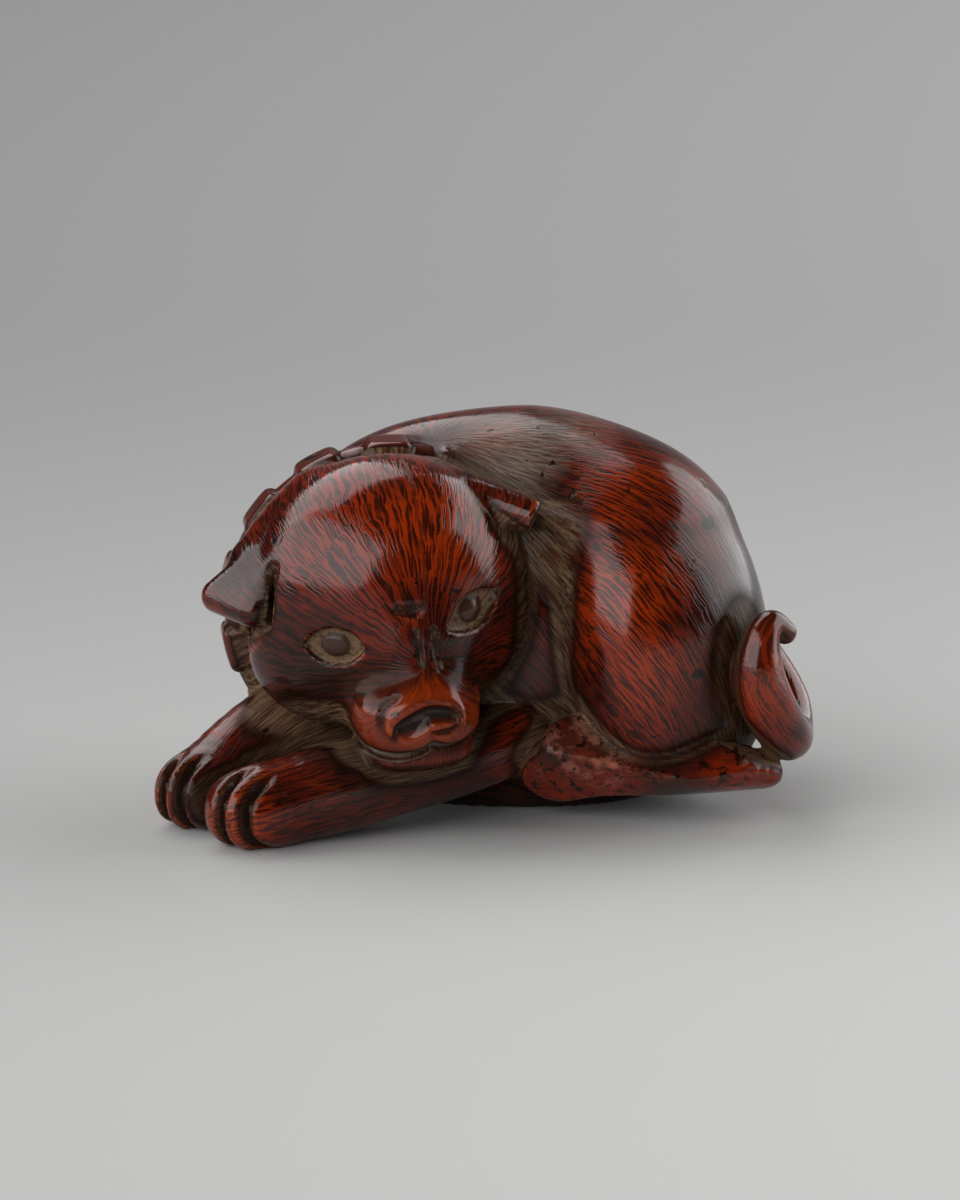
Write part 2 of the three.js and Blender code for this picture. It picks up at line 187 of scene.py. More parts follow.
def smooth_path(stations, steps):
    """A curve through rows of numbers, with each span in steps parts."""
    rows = np.array(stations, float)
    rows = np.vstack([2 * rows[0] - rows[1], rows, 2 * rows[-1] - rows[-2]])
    curve = []
    for i in range(1, len(rows) - 2):
        a, b, c, d = rows[i - 1 : i + 3]
        for t in np.linspace(0, 1, steps, endpoint=False):
            bend = (2 * a - 5 * b + 4 * c - d) * t**2 + (3 * b - a - 3 * c + d) * t**3
            curve.append(0.5 * (2 * b + (c - a) * t + bend))
    curve.append(rows[-2])
    return np.array(curve, np.float32)


def limb(points, stations, steps=3):
    """A round tapered form through stations, each its place and then its radius."""
    curve = smooth_path(stations, steps)
    near = near_to(points, curve[:, :-1], curve[:, -1].max() + REACH)
    distance = np.full(points.shape[:-1], REACH, np.float32)
    local = points[near]
    best = np.full(len(local), REACH, np.float32)
    for start, end in zip(curve[:-1], curve[1:]):
        axis = end[:-1] - start[:-1]
        share = np.clip((local - start[:-1]) @ axis / (axis @ axis), 0, 1)
        radius = start[-1] + share * (end[-1] - start[-1])
        off = np.linalg.norm(local - start[:-1] - share[:, None] * axis, axis=-1)
        best = np.minimum(best, off - radius)
    distance[near] = best
    return distance


def blade(points, a, b, c, thickness):
    """A flat flap with rounded edges, between three corners."""
    a, b, c = (np.array(corner, np.float32) for corner in (a, b, c))
    near = near_to(points, [a, b, c], thickness + REACH)
    local = points[near]
    normal = np.cross(b - a, c - a)
    normal /= np.linalg.norm(normal)
    inside = np.ones(len(local), bool)
    to_edge = np.full(len(local), REACH * 4, np.float32)
    for start, end in ((a, b), (b, c), (c, a)):
        axis = end - start
        off = local - start
        inside &= off @ np.cross(normal, axis) > 0
        share = np.clip(off @ axis / (axis @ axis), 0, 1)
        to_edge = np.minimum(to_edge, np.linalg.norm(off - share[:, None] * axis, axis=-1))
    distance = np.full(points.shape[:-1], REACH, np.float32)
    distance[near] = np.where(inside, np.abs((local - a) @ normal), to_edge) - thickness
    return distance


NEAR_EAR_FLAP = ((-12.4, -6.6, 20.4), (-18.0, -6.0, 15.4), (-15.7, -8.4, 15.0))
NEAR_EAR_ROOT = [(-11.0, -3.0, 20.0, 3.4), (-15.2, -5.0, 17.2, 2.2)]
NEAR_EAR_SLIT = ((-14.2, -10.0, 18.6), (-14.8, -10.4, 14.0), (-14.0, -5.6, 15.0))
UNDER_NEAR_EAR = [
    (-14.6, -9.0, 18.0, 0.15),
    (-14.3, -8.6, 16.2, 0.7),
    (-14.4, -7.4, 14.2, 1.1),
    (-15.0, -5.2, 12.4, 1.3),
]
FAR_EAR = [
    (-4.0, -3.0, 22.3, 1.8),
    (-0.8, -5.0, 21.8, 1.5),
    (2.2, -6.2, 21.1, 1.2),
    (4.4, -6.7, 20.5, 1.0),
]
FAR_EAR_END = ((3.1, -6.3, 20.9), (0.9, -0.15, -0.4))  # the plane its tip is cut to


def ears(points, head):
    flap = blade(points, *NEAR_EAR_FLAP, thickness=1.15)
    root = limb(points, NEAR_EAR_ROOT)
    slit = blade(points, *NEAR_EAR_SLIT, thickness=0.2)
    hollow = limb(points, UNDER_NEAR_EAR)
    head = run_together(head, root, 1.2)
    head = cut_away(head, run_together(slit, hollow, 0.4), 0.35)
    head = run_together(head, cut_away(flap, slit, 0.3), 0.5)
    lobe = cut_away(limb(points, FAR_EAR), -past_plane(points, *FAR_EAR_END), 0.15)
    return run_together(head, lobe, 0.5)


# ---------------------------------------------------------------- eyes
# Each eye is an almond cut in with a knife: a sunk ring, and in it a raised, stained pupil
# that stands like a low button.
EYES = [
    # where it is in the head, how it is turned, and half its height and width
    {"centre": (-4.61, -6.33, 0.3), "axes": turned(yaw=-33, roll=8), "half": (1.3, 2.1)},
    {"centre": (4.71, -6.33, 0.4), "axes": turned(yaw=33, roll=-10), "half": (1.1, 2.4)},
]
EYE_DEPTH = 0.42
EYE_EDGE = 0.16  # the width over which the knife cut slopes down
EYE_REACH = 2.5  # how far before and behind its middle an eye is cut
PUPIL_HALF = (1.0, 0.85)
PUPIL_LIFT = 0.05  # its middle stands this much over the middle of the almond
PUPIL_RISE = 0.3


def in_eye(points, eye):
    """Points in the eye's own axes, and whether they are close enough to be cut."""
    local = (in_head(points) - np.array(eye["centre"], np.float32)) @ eye["axes"]
    return local, np.abs(local[..., 1]) < EYE_REACH


def almond(local, half):
    """Distance in the plane of the face from the edge of the almond, negative inside."""
    tall, wide = half
    radius = (wide**2 + tall**2) / (2 * tall)  # of the arc of each lid
    upper = np.hypot(local[..., 0], local[..., 2] + radius - tall) - radius
    lower = np.hypot(local[..., 0], local[..., 2] - radius + tall) - radius
    return np.maximum(upper, lower)


def from_pupil(local):
    """0 in the middle of the pupil and 1 at its rim."""
    wide, tall = PUPIL_HALF
    return np.hypot(local[..., 0] / wide, (local[..., 2] - PUPIL_LIFT) / tall)


def eyes(points, head):
    for eye in EYES:
        local, in_front = in_eye(points, eye)
        sunk = EYE_DEPTH * np.clip(0.5 - almond(local, eye["half"]) / EYE_EDGE, 0, 1)
        raised = PUPIL_RISE * np.sqrt(np.clip(1 - from_pupil(local) ** 2, 0, 1))
        head = head + np.where(in_front, sunk - raised, 0)
    return head


# ---------------------------------------------------------------- nose and mouth
# Cut into the front of the muzzle: the pad is an arched ridge over one sunk crescent for the
# nostrils, the lip line is a narrow groove that rises to a peak under it, and two short
# strokes mark the bridge.
FACE_CUTS = {
    # depth, negative where wood is left standing; then right, up and half the width of the cut
    "arch of the pad": (-0.34, [
        (-2.0, -0.5, 0.4), (-1.7, 0.6, 0.45), (-0.6, 1.4, 0.65), (0.7, 1.65, 0.75),
        (2.0, 1.3, 0.65), (2.7, 0.6, 0.45), (2.8, -0.2, 0.35),
    ]),
    "nostrils": (0.55, [
        (-1.5, -0.2, 0.3), (-0.7, 0.1, 0.4), (0.5, 0.55, 0.5), (1.6, 0.5, 0.42), (2.3, 0.2, 0.25),
    ]),
    "floor of the nostril": (0.3, [(-1.6, -0.6, 0.3), (-0.8, -0.7, 0.35), (0.2, -0.2, 0.3)]),
    "septum": (-0.2, [(0.8, -0.3, 0.3), (2.0, -0.15, 0.25)]),
    "edge of the septum": (0.2, [
        (2.45, 0.1, 0.15), (2.6, -0.3, 0.15), (2.0, -0.75, 0.15), (0.8, -0.75, 0.12),
    ]),
    "edge of the pad": (0.2, [
        (-1.3, 1.7, 0.1), (-2.3, 1.1, 0.15), (-2.6, 0.1, 0.17), (-2.3, -0.8, 0.15),
        (-1.5, -1.2, 0.1),
    ]),
    "lip line": (0.42, [
        (-4.2, -1.5, 0.16), (-3.5, -2.1, 0.18), (-2.6, -2.45, 0.2), (-1.1, -2.55, 0.2),
        (0.2, -2.2, 0.2), (0.8, -1.75, 0.24), (1.6, -2.0, 0.2), (2.6, -2.0, 0.18),
        (3.8, -1.5, 0.16),
    ]),
    "cleft": (0.12, [(0.7, -0.8, 0.15), (0.8, -1.5, 0.15)]),
    "chip in the brow": (0.25, [(-0.9, 7.0, 0.15), (0.1, 6.9, 0.3), (0.9, 7.2, 0.12)]),
    "left stroke of the bridge": (0.25, [(0.3, 5.6, 0.12), (0.35, 4.6, 0.22), (0.4, 3.4, 0.12)]),
    "right stroke of the bridge": (0.25, [(1.5, 5.6, 0.12), (1.55, 4.4, 0.2), (1.7, 3.0, 0.12)]),
}
PAD_MIDDLE = (-0.25, 0.45)  # right and up from the muzzle's middle; the cuts start from here


def line_cut(flat, path):
    """1 along the middle of a cut on the front of the muzzle, fading to 0 at its sides."""
    curve = smooth_path(path, 4)
    best = np.full(len(flat), 9.0, np.float32)
    for start, end in zip(curve[:-1], curve[1:]):
        axis = end[:2] - start[:2]
        share = np.clip((flat - start[:2]) @ axis / (axis @ axis), 0, 1)
        width = start[2] + share * (end[2] - start[2])
        off = np.linalg.norm(flat - start[:2] - share[:, None] * axis, axis=-1)
        best = np.minimum(best, off / width)
    return np.exp(-(best**2.5) * 0.7)


def nose_and_mouth(points, head, names=tuple(FACE_CUTS)):
    """The head with these cuts made in it. From a head of 0 it gives the depth of the cuts."""
    local = in_muzzle(points)
    right, back, up = (local[..., i] for i in range(3))
    front = (back < 1.0) & (np.abs(right) < 6) & (np.abs(up - 2.5) < 7)
    flat = local[front][:, [0, 2]] - np.array(PAD_MIDDLE, np.float32)
    head = head.copy()
    for name in names:
        depth, path = FACE_CUTS[name]
        head[front] += depth * line_cut(flat, path)
    return head


# ---------------------------------------------------------------- forelegs and paws
# Both forelegs reach forward under the chin and end in blunt paws with three toes each. The
# toes are parted by short deep grooves.
NEAR_FORELEG = [
    (1.6, -4.6, 5.4, 2.6),
    (-2.6, -7.2, 4.5, 2.6),
    (-6.2, -8.9, 3.9, 2.7),
    (-10.7, -10.4, 3.3, 3.1),
    (-14.0, -11.6, 2.7, 2.7),
]
FAR_FORELEG = [
    (-11.0, -0.6, 6.0, 3.6),
    (-14.4, -2.2, 4.9, 3.2),
    (-17.2, -4.6, 3.6, 2.8),
    (-18.9, -6.6, 2.6, 2.4),
]
PAWS = [
    # grooves: how far to the side of the paw's middle each of them runs
    {"centre": (-15.2, -11.9, 2.4), "radii": (3.2, 3.9, 2.7), "grooves": (-0.3, 1.7)},
    {"centre": (-19.2, -6.9, 2.3), "radii": (2.7, 3.4, 2.6), "grooves": (-0.9, 0.8)},
]
PAW_AXES = turned(yaw=-38)
GROOVE_DEPTH = 0.75
GROOVE_HALF_WIDTH = 0.32
GROOVE_START = -0.4  # they start this far before the paw's middle
GROOVE_RUN = 1.6  # and are at full depth this much further forward


def toe_grooves(points):
    """How deep the grooves between the toes are cut."""
    depth = np.zeros(points.shape[:-1], np.float32)
    for paw in PAWS:
        local = (points - np.array(paw["centre"], np.float32)) @ PAW_AXES
        within = (np.abs(local) < np.array(paw["radii"]) + 1.0).all(-1)
        x, y, z = local[within].T
        at_toes = np.clip((GROOVE_START - y) / GROOVE_RUN, 0, 1)
        for middle in paw["grooves"]:
            off = x - middle - 0.05 * middle * y  # the grooves fan out a little
            depth[within] += GROOVE_DEPTH * at_toes * np.exp(-((off / GROOVE_HALF_WIDTH) ** 2))
    return depth


def forelegs(points):
    near_paw, far_paw = (
        rounded(points, paw["centre"], paw["radii"], PAW_AXES, power=2.3) for paw in PAWS
    )
    near_leg = run_together(limb(points, NEAR_FORELEG), near_paw, 1.0)
    far_leg = run_together(limb(points, FAR_FORELEG), far_paw, 1.0)
    return run_together(near_leg, far_leg, 0.3) + toe_grooves(points)


# ---------------------------------------------------------------- hind feet and tail
# The near hind foot lies along the base under the thigh, and its toes are worn to flat, pitted
# planes. The far one is a plain roll on the hidden side. The tail hooks round in front of
# itself.
NEAR_HIND_FOOT = [
    (4.6, -6.6, 3.5, 2.5),
    (6.9, -7.2, 4.8, 3.1),
    (9.6, -7.2, 4.3, 2.4),
    (12.8, -7.0, 3.9, 2.2),
    (16.0, -6.4, 3.6, 1.9),
    (18.2, -5.6, 3.2, 1.45),
]
WORN_PLANES = [
    ((4.6, -9.3, 5.0), (-0.6, -0.77, 0.21)),
    ((9.0, -9.0, 4.3), (-0.16, -0.78, -0.6)),
    ((9.0, -9.0, 4.4), (0.1, -0.75, 0.65)),
]
FAR_HIND_FOOT = [(2.0, 11.2, 2.0, 1.8), (8.5, 12.6, 2.2, 1.9), (14.5, 11.4, 2.2, 1.8)]
TAIL = [
    (14.6, 4.4, 12.4, 2.2),
    (17.4, 2.6, 10.0, 1.9),
    (19.8, 0.2, 7.0, 1.7),
    (20.2, -2.6, 5.2, 1.6),
    (19.7, -5.0, 5.9, 1.75),
    (18.5, -6.8, 8.3, 1.85),
    (17.9, -7.3, 10.6, 1.7),
    (18.1, -7.1, 12.7, 1.25),
    (18.8, -6.5, 13.6, 0.95),
    (19.7, -5.9, 12.9, 0.8),
]


def hind_foot(points):
    foot = limb(points, NEAR_HIND_FOOT)
    for plane in WORN_PLANES:
        foot = cut_away(foot, -past_plane(points, *plane), 0.12)
    return foot


# ---------------------------------------------------------------- underside
# The carving stands on a small worn flat, and its near side is undercut. Two cord holes are
# bored in it and meet inside.
UNDERCUT = ((4.0, -4.6, 0.0), (0.1, -0.36, -0.93))
CORD_TUNNEL = [
    (7.1, 4.4, -3.0, 1.9),
    (7.1, 4.4, 1.0, 1.9),
    (4.9, 4.4, 4.2, 1.5),
    (0.3, 4.4, 4.2, 1.5),
    (-1.9, 4.4, 1.0, 1.5),
    (-1.9, 4.4, -3.0, 1.5),
]


def underside(points, wood):
    clear_of_legs = np.clip((3.0 - points[..., 0]) / 2, 0, 4)
    wood = cut_away(wood, -past_plane(points, *UNDERCUT) + clear_of_legs, 0.8)
    wood = cut_away(wood, limb(points, CORD_TUNNEL), 0.3)
    return np.maximum(wood, -points[..., 2])


def carving(points):
    """The whole carving, as one piece of wood."""
    head = nose_and_mouth(points, eyes(points, ears(points, skull(points))))
    wood = run_together(trunk(points), collar(points), 0.3)
    wood = run_together(wood, head, 0.3)
    wood = run_together(wood, forelegs(points), 0.35)
    wood = run_together(wood, hind_foot(points), 0.3)
    wood = run_together(wood, limb(points, FAR_HIND_FOOT), 0.6)
    wood = run_together(wood, limb(points, TAIL, steps=6), 0.35)
    return underside(points, wood)


# ---------------------------------------------------------------- the skin of the wood
# One closed mesh is drawn over the whole carving: a point in each small cell that the surface
# passes through, moved on to the surface, and a face across each cell edge it crosses.
CELL = 0.25  # finer than the narrowest groove
COARSE = 4  # cells to the side of a block, and blocks are looked at first
NEAR_BLOCKS = 1.8  # within this many blocks of the surface each cell is looked at
SPACE_LOW = np.array((-23.0, -17.0, -1.0), np.float32)
SPACE_HIGH = np.array((23.5, 16.0, 28.0), np.float32)


def in_chunks(field, points, size=200_000):
    """The distances of many points, a part at a time so that they fit in memory."""
    flat = points.reshape(-1, 3)
    parts = [field(flat[i : i + size]) for i in range(0, len(flat), size)]
    return np.concatenate(parts).astype(np.float32).reshape(points.shape[:-1])


def lattice(counts, step):
    grids = np.meshgrid(*[np.arange(n) for n in counts], indexing="ij")
    return SPACE_LOW + step * np.stack(grids, axis=-1).astype(np.float32)


def distances_on_lattice():
    """The distance at every cell corner, worked out closely only near the surface."""
    block = CELL * COARSE
    blocks = np.ceil((SPACE_HIGH - SPACE_LOW) / block).astype(int)
    rough = in_chunks(carving, lattice(blocks + 1, block) + block / 2)
    fine = rough[:-1, :-1, :-1]
    for axis in range(3):
        fine = np.repeat(fine, COARSE, axis=axis)
    points = lattice(fine.shape, CELL)
    near = np.abs(fine) < block * NEAR_BLOCKS
    fine = fine.copy()
    fine[near] = in_chunks(carving, points[near])
    return fine


def net_points(values):
    """A point in each cell that the surface passes through, and which point each cell has."""
    inside = values < 0
    corner_sum = np.zeros(np.array(values.shape) - 1, np.int8)
    corners = [(i, j, k) for i in (0, 1) for j in (0, 1) for k in (0, 1)]
    nx, ny, nz = corner_sum.shape
    for i, j, k in corners:
        corner_sum += inside[i : nx + i, j : ny + j, k : nz + k]
    cells = np.argwhere((corner_sum > 0) & (corner_sum < len(corners)))
    number = np.full(corner_sum.shape, -1, np.int64)
    number[tuple(cells.T)] = np.arange(len(cells))

    total = np.zeros((len(cells), 3))
    crossings = np.zeros(len(cells))
    for start in corners:
        for axis in range(3):
            if start[axis]:
                continue
            end = list(start)
            end[axis] = 1
            a = values[tuple((cells + start).T)]
            b = values[tuple((cells + end).T)]
            crossed = (a < 0) != (b < 0)
            share = np.where(crossed, a / np.where(crossed, a - b, 1), 0)
            spot = np.array(start, float) + share[:, None] * (np.array(end) - np.array(start))
            total += spot * crossed[:, None]
            crossings += crossed
    points = SPACE_LOW + CELL * (cells + total / crossings[:, None])
    return points.astype(np.float32), number


def net_faces(values, number):
    """A four-sided face across each lattice edge that the surface crosses."""
    inside = values < 0
    step = np.eye(3, dtype=int)
    limit = np.array(values.shape) - 1
    faces = []
    for axis in range(3):
        first, second = (axis + 1) % 3, (axis + 2) % 3
        changes = np.argwhere(inside != np.roll(inside, -1, axis=axis))
        changes = changes[(changes > 0).all(1) & (changes < limit).all(1)]
        around = [
            number[tuple((changes - a * step[first] - b * step[second]).T)]
            for a, b in ((1, 1), (0, 1), (0, 0), (1, 0))
        ]
        quads = np.stack(around, axis=1)
        leaving = inside[tuple(changes.T)]
        faces.append(np.where(leaving[:, None], quads, quads[:, ::-1]))
    return np.concatenate(faces)


def slope_of(field, points, reach=0.06):
    """The direction in which the distance grows, from four nearby points."""
    corners = np.array([(1, -1, -1), (-1, -1, 1), (-1, 1, -1), (1, 1, 1)], np.float32)
    slope = sum(c * in_chunks(field, points + reach * c)[:, None] for c in corners)
    return slope / (4 * reach)


values = distances_on_lattice()
points, number = net_points(values)
faces = net_faces(values, number)
for _ in range(2):
    slope = slope_of(carving, points)
    steepness = np.maximum((slope**2).sum(1), 0.3)
    step = -(in_chunks(carving, points) / steepness)[:, None] * slope
    points += np.clip(step, -CELL / 2, CELL / 2)
outward = slope_of(carving, points, reach=0.15)
outward /= np.maximum(np.linalg.norm(outward, axis=1, keepdims=True), 1e-6)

# ---------------------------------------------------------------- how the surface lies
# The hair is cut and inked in short strokes that run back from the bridge of the nose over
# the head, and from the neck over the back and thigh to the root of the tail. Dust lies where
# a cloth can't reach, and the highest places are rubbed bright. Shade is painted on too: darker
# in the hollows and cuts, under the head, under the hind foot and near the table.


def sunkness():
    """0 on open wood to 1 deep in a hollow: how much wood stands close in front of a point."""
    reaches = (0.7, 1.5, 3.0, 5.0)
    total = np.zeros(len(points), np.float32)
    for reach in reaches:
        ahead = in_chunks(carving, points + reach * outward)
        total += np.clip(1 - ahead / reach, 0, 1)
    return total / len(reaches)


def sharpness():
    """Towards 1 on an edge and towards -1 in a crease."""
    behind = in_chunks(carving, points - 0.5 * outward)
    ahead = in_chunks(carving, points + 0.5 * outward)
    return np.clip((behind + ahead) / 0.25, -1, 1)


def round_axis(start, end, up):
    """How strokes lie that run from one pole to another: turn round the axis, run, girth."""
    axis = (end - start) / np.linalg.norm(end - start)
    side = np.cross(axis, up)
    side /= np.linalg.norm(side)
    over = np.cross(side, axis)
    off = points - start
    x, y = off @ side, off @ over
    return np.stack([np.arctan2(x, y), off @ axis, np.hypot(x, y)], axis=1)


def down_limb(stations):
    """How strokes lie that run down a limb: turn round the limb, run, girth."""
    curve = smooth_path(stations, 8)[:, :3]
    nearest = np.linalg.norm(points[:, None] - curve[None], axis=2).argmin(1)
    tangent = np.gradient(curve, axis=0)
    tangent /= np.linalg.norm(tangent, axis=1, keepdims=True)
    off = points - curve[nearest]
    spans = np.linalg.norm(np.diff(curve, axis=0), axis=1)
    lengths = np.concatenate([[0], np.cumsum(spans)])
    side = np.cross(tangent[nearest], (0, 0, 1))
    side /= np.linalg.norm(side, axis=1, keepdims=True)
    over = np.cross(side, tangent[nearest])
    x, y = (off * side).sum(1), (off * over).sum(1)
    run = lengths[nearest] + (off * tangent[nearest]).sum(1)
    return np.stack([np.arctan2(x, y), run, np.hypot(x, y)], axis=1)


NOSE_BRIDGE = HEAD_CENTRE + HEAD_AXES @ np.array((0.9, -9.0, -1.6), np.float32)
NAPE = HEAD_CENTRE + HEAD_AXES @ np.array((0.2, 9.0, 1.0), np.float32)
NECK_POLE = np.array((-3.0, 1.0, 23.5), np.float32)
TAIL_POLE = np.array((15.5, -1.0, 0.0), np.float32)
ACROSS_HEAD = round_axis(NOSE_BRIDGE, NAPE, (0, 0, -1))
DOWN_BACK = round_axis(NECK_POLE, TAIL_POLE, (0, 1, 0))
MASSES = {
    # name: form, how its strokes lie, and their strength, pitch and length
    "body": (trunk, DOWN_BACK, 1.0, 0.42, 2.6),
    "collar": (collar, round_axis(NAPE, NOSE_BRIDGE, (0, 0, 1)), 0.0, 0.5, 2.0),
    "head": (lambda p: ears(p, skull(p)), ACROSS_HEAD, 1.0, 0.48, 2.3),
    "near leg": (lambda p: limb(p, NEAR_FORELEG), down_limb(NEAR_FORELEG), 0.9, 0.42, 2.2),
    "far leg": (lambda p: limb(p, FAR_FORELEG), down_limb(FAR_FORELEG), 0.9, 0.42, 2.2),
    "hind foot": (hind_foot, down_limb(NEAR_HIND_FOOT), 0.35, 0.5, 2.2),
    "far foot": (lambda p: limb(p, FAR_HIND_FOOT), down_limb(FAR_HIND_FOOT), 0.8, 0.45, 2.2),
    "tail": (lambda p: limb(p, TAIL), down_limb(TAIL), 0.8, 0.6, 2.6),
}
owner = np.array([in_chunks(form, points) for form, *_ in MASSES.values()]).argmin(0)
lay = np.zeros((len(points), 3), np.float32)
hair = np.zeros((len(points), 3), np.float32)
for index, (_, flow, *stroke) in enumerate(MASSES.values()):
    own = owner == index
    lay[own] = flow[own]
    hair[own] = stroke


def part_of(name):
    """1 on one of the masses and 0 elsewhere."""
    return (owner == list(MASSES).index(name)).astype(np.float32)


def spot(centre, radius, where=None):
    """1 in the middle of a spot, fading to 0 at its radius."""
    away = np.linalg.norm((points if where is None else where) - np.array(centre), axis=1)
    return np.clip(1.5 - 1.5 * away / radius, 0, 1)


muzzle_points = in_muzzle(points)
bare = np.maximum.reduce([
    spot((0, -4.2, 0.0), 4.4, muzzle_points),  # the nose and lips are polished bare
    spot((2.4, -2.0, -1.0), 3.4, muzzle_points),
    spot((-2.4, -2.0, -1.0), 3.4, muzzle_points),
    spot((-17.4, -5.6, 14.4), 2.4),  # and so is the tip of the near ear
])
hair[:, 0] *= 1 - bare
wiped = np.maximum.reduce([
    0.95 * spot(PAWS[0]["centre"], 6.5),
    0.95 * spot(PAWS[1]["centre"], 6.5),
    0.8 * spot((16.8, -5.0, 10.5), 6.5),  # the gap between the haunch and the tail
])
film = np.maximum.reduce([
    spot((1.6, -0.5, 23.8), 4.6),  # the back of the neck, behind the collar
    0.6 * spot((5.5, 1.5, 24.5), 4.0),
])
rubbed = np.maximum.reduce([
    spot((-3.6, -10.0, 20.5), 6.0),  # handled most on the crown, the thigh and the back
    spot((9.2, -9.0, 16.5), 5.0),
    spot((8.1, -4.5, 23.6), 5.5),
    spot((11.2, -9.5, 11.0), 4.0),
    spot((-4.3, -12.5, 10.5), 3.0),  # and on the bridge, the tail and the near paw
    spot((18.2, -7.5, 9.0), 3.5),
    spot((-16.5, -14.5, 2.0), 3.0),
])
# Black stain in places, with painted shade on the foreleg under the cheek, where it leaves the
# chest, under the hind foot and on the belly near the table.
black_stain_and_shade = np.maximum.reduce([
    spot((-17.0, -6.5, 17.5), 3.2),  # the upper side of the near ear
    spot((-11.5, -9.5, 11.0), 4.5),  # the cheek
    spot((-9.0, -11.0, 5.5), 4.5),  # painted shade on the near foreleg under it
    spot((17.5, -2.0, 15.0), 7.5),  # the rump, where the stain has gone black
    spot((0.5, -3.0, 22.5), 5.5),  # the back of the neck
    spot((-3.0, -6.5, 4.5), 4.5),  # painted shade where that leg leaves the chest
    spot((12.5, -8.6, 1.6), 4.0),  # painted shade under the hind foot
    spot((4.2, -8.8, 5.6), 2.4),  # the stained corner of its toes
    np.clip(1.3 - points[:, 2] / 2.6, 0, 1) * part_of("body"),  # painted shade on the belly near the table
])
uncut = np.zeros(len(points), np.float32)
ring = np.full(len(points), REACH, np.float32)
pupil = np.full(len(points), REACH, np.float32)
for eye in EYES:
    local, in_front = in_eye(points, eye)
    ring = np.where(in_front, np.minimum(ring, almond(local, eye["half"])), ring)
    pupil = np.where(in_front, np.minimum(pupil, from_pupil(local) - 1), pupil)
SURFACE = {
    "place": points,
    "lay": lay,
    "hair": hair,
    "sunk": sunkness(),
    "edge": sharpness(),
    "face cut": nose_and_mouth(points, uncut),
    "mouth": nose_and_mouth(points, uncut, ["lip line"]),
    "toe cut": toe_grooves(points),
    "ring": ring,
    "pupil": pupil,
    "bare": bare,
    "collar": part_of("collar"),
    "wiped": wiped,
    "film": film,
    "rubbed": rubbed,
    "black_stain_and_shade": black_stain_and_shade,
    "foot": part_of("hind foot"),
    "worn foot": spot((5.9, -9.4, 4.7), 4.2) * part_of("hind foot"),
}

# ---------------------------------------------------------------- the carved netsuke
# The skin at its real place and size in the shared frame, in metres, as one closed mesh. Each
# of its points keeps what is known about the surface there.
low, high = (np.array(corner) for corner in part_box("netsuke"))
size = points.max(0) - points.min(0)
to_metres = ((high - low) / size).min()
placed = (points - (points.max(0) + points.min(0)) / 2) * to_metres
placed[:, :2] += (low[:2] + high[:2]) / 2
placed[:, 2] += low[2] - placed[:, 2].min()

mesh = bpy.data.meshes.new("netsuke_carving")
mesh.vertices.add(len(placed))
mesh.vertices.foreach_set("co", placed.astype(np.float32).ravel())
mesh.loops.add(faces.size)
mesh.loops.foreach_set("vertex_index", faces.astype(np.int32).ravel())
mesh.polygons.add(len(faces))
mesh.polygons.foreach_set("loop_start", np.arange(0, faces.size, 4, dtype=np.int32))
mesh.update(calc_edges=True)
mesh.validate()
mesh.shade_smooth()
for name, numbers in SURFACE.items():
    kind, field = ("FLOAT_VECTOR", "vector") if numbers.ndim == 2 else ("FLOAT", "value")
    kept = mesh.attributes.new(name, kind, "POINT")
    kept.data.foreach_set(field, numbers.astype(np.float32).ravel())

carved = bpy.data.objects.new("carved_puppy", mesh)
bpy.context.scene.collection.objects.link(carved)

# ---------------------------------------------------------------- stained and polished wood
# Close-grained hardwood, stained red and rubbed with oil and lacquer until it shines. The
# stain is thin on the high places, where it glows orange, and ink sits in the hair strokes.


def linear(code):
    """An sRGB hex colour as linear red, green, blue and alpha."""
    parts = [int(code[i : i + 2], 16) / 255 for i in (1, 3, 5)]
    return (*[p / 12.92 if p <= 0.04045 else ((p + 0.055) / 1.055) ** 2.4 for p in parts], 1.0)


def material(name):
    """A material with nothing in its tree yet."""
    made = bpy.data.materials.new(name)
    made.use_nodes = True
    made.node_tree.nodes.clear()
    return made


wood = material("stained_polished_hardwood")
tree = wood.node_tree


def add(kind, *inputs, output=0, **named):
    """Adds a node. Its sockets in use are filled in order, or by name where it is a capital
    one; the other names are settings. Gives the node's output of that number."""
    node = tree.nodes.new("ShaderNode" + kind)
    for name, value in named.items():
        if name[0].islower():
            setattr(node, name, value)
    in_use = [socket for socket in node.inputs if socket.enabled]
    filled = list(zip(in_use, inputs))
    filled += [(node.inputs[n.replace("_", " ")], v) for n, v in named.items() if n[0].isupper()]
    for socket, value in filled:
        if isinstance(value, bpy.types.NodeSocket):
            tree.links.new(value, socket)
        else:
            socket.default_value = value
    return [socket for socket in node.outputs if socket.enabled][output] if node.outputs else node


# Settings of the nodes used most. A Math node works on its inputs from left to right. A
# MapRange climbs between its first two numbers, from 0 to 1 or between the two that follow.
TIMES, PLUS, LESS, OVER = ({"operation": n} for n in ("MULTIPLY", "ADD", "SUBTRACT", "DIVIDE"))
TIMES_PLUS = {"operation": "MULTIPLY_ADD"}
LARGER = {"operation": "MAXIMUM"}
EASED = {"interpolation_type": "SMOOTHSTEP"}
COLOURS = {"data_type": "RGBA"}

place = add("Attribute", attribute_name="place", output=1)
flow = add("Attribute", attribute_name="lay", output=1)
turn, run, girth = (add("SeparateXYZ", flow, output=i) for i in range(3))
cut = add("Attribute", attribute_name="hair", output=1)
strength, pitch, length = (add("SeparateXYZ", cut, output=i) for i in range(3))
known = {
    name: add("Attribute", attribute_name=name, output=2)
    for name, numbers in SURFACE.items()
    if numbers.ndim == 1
}

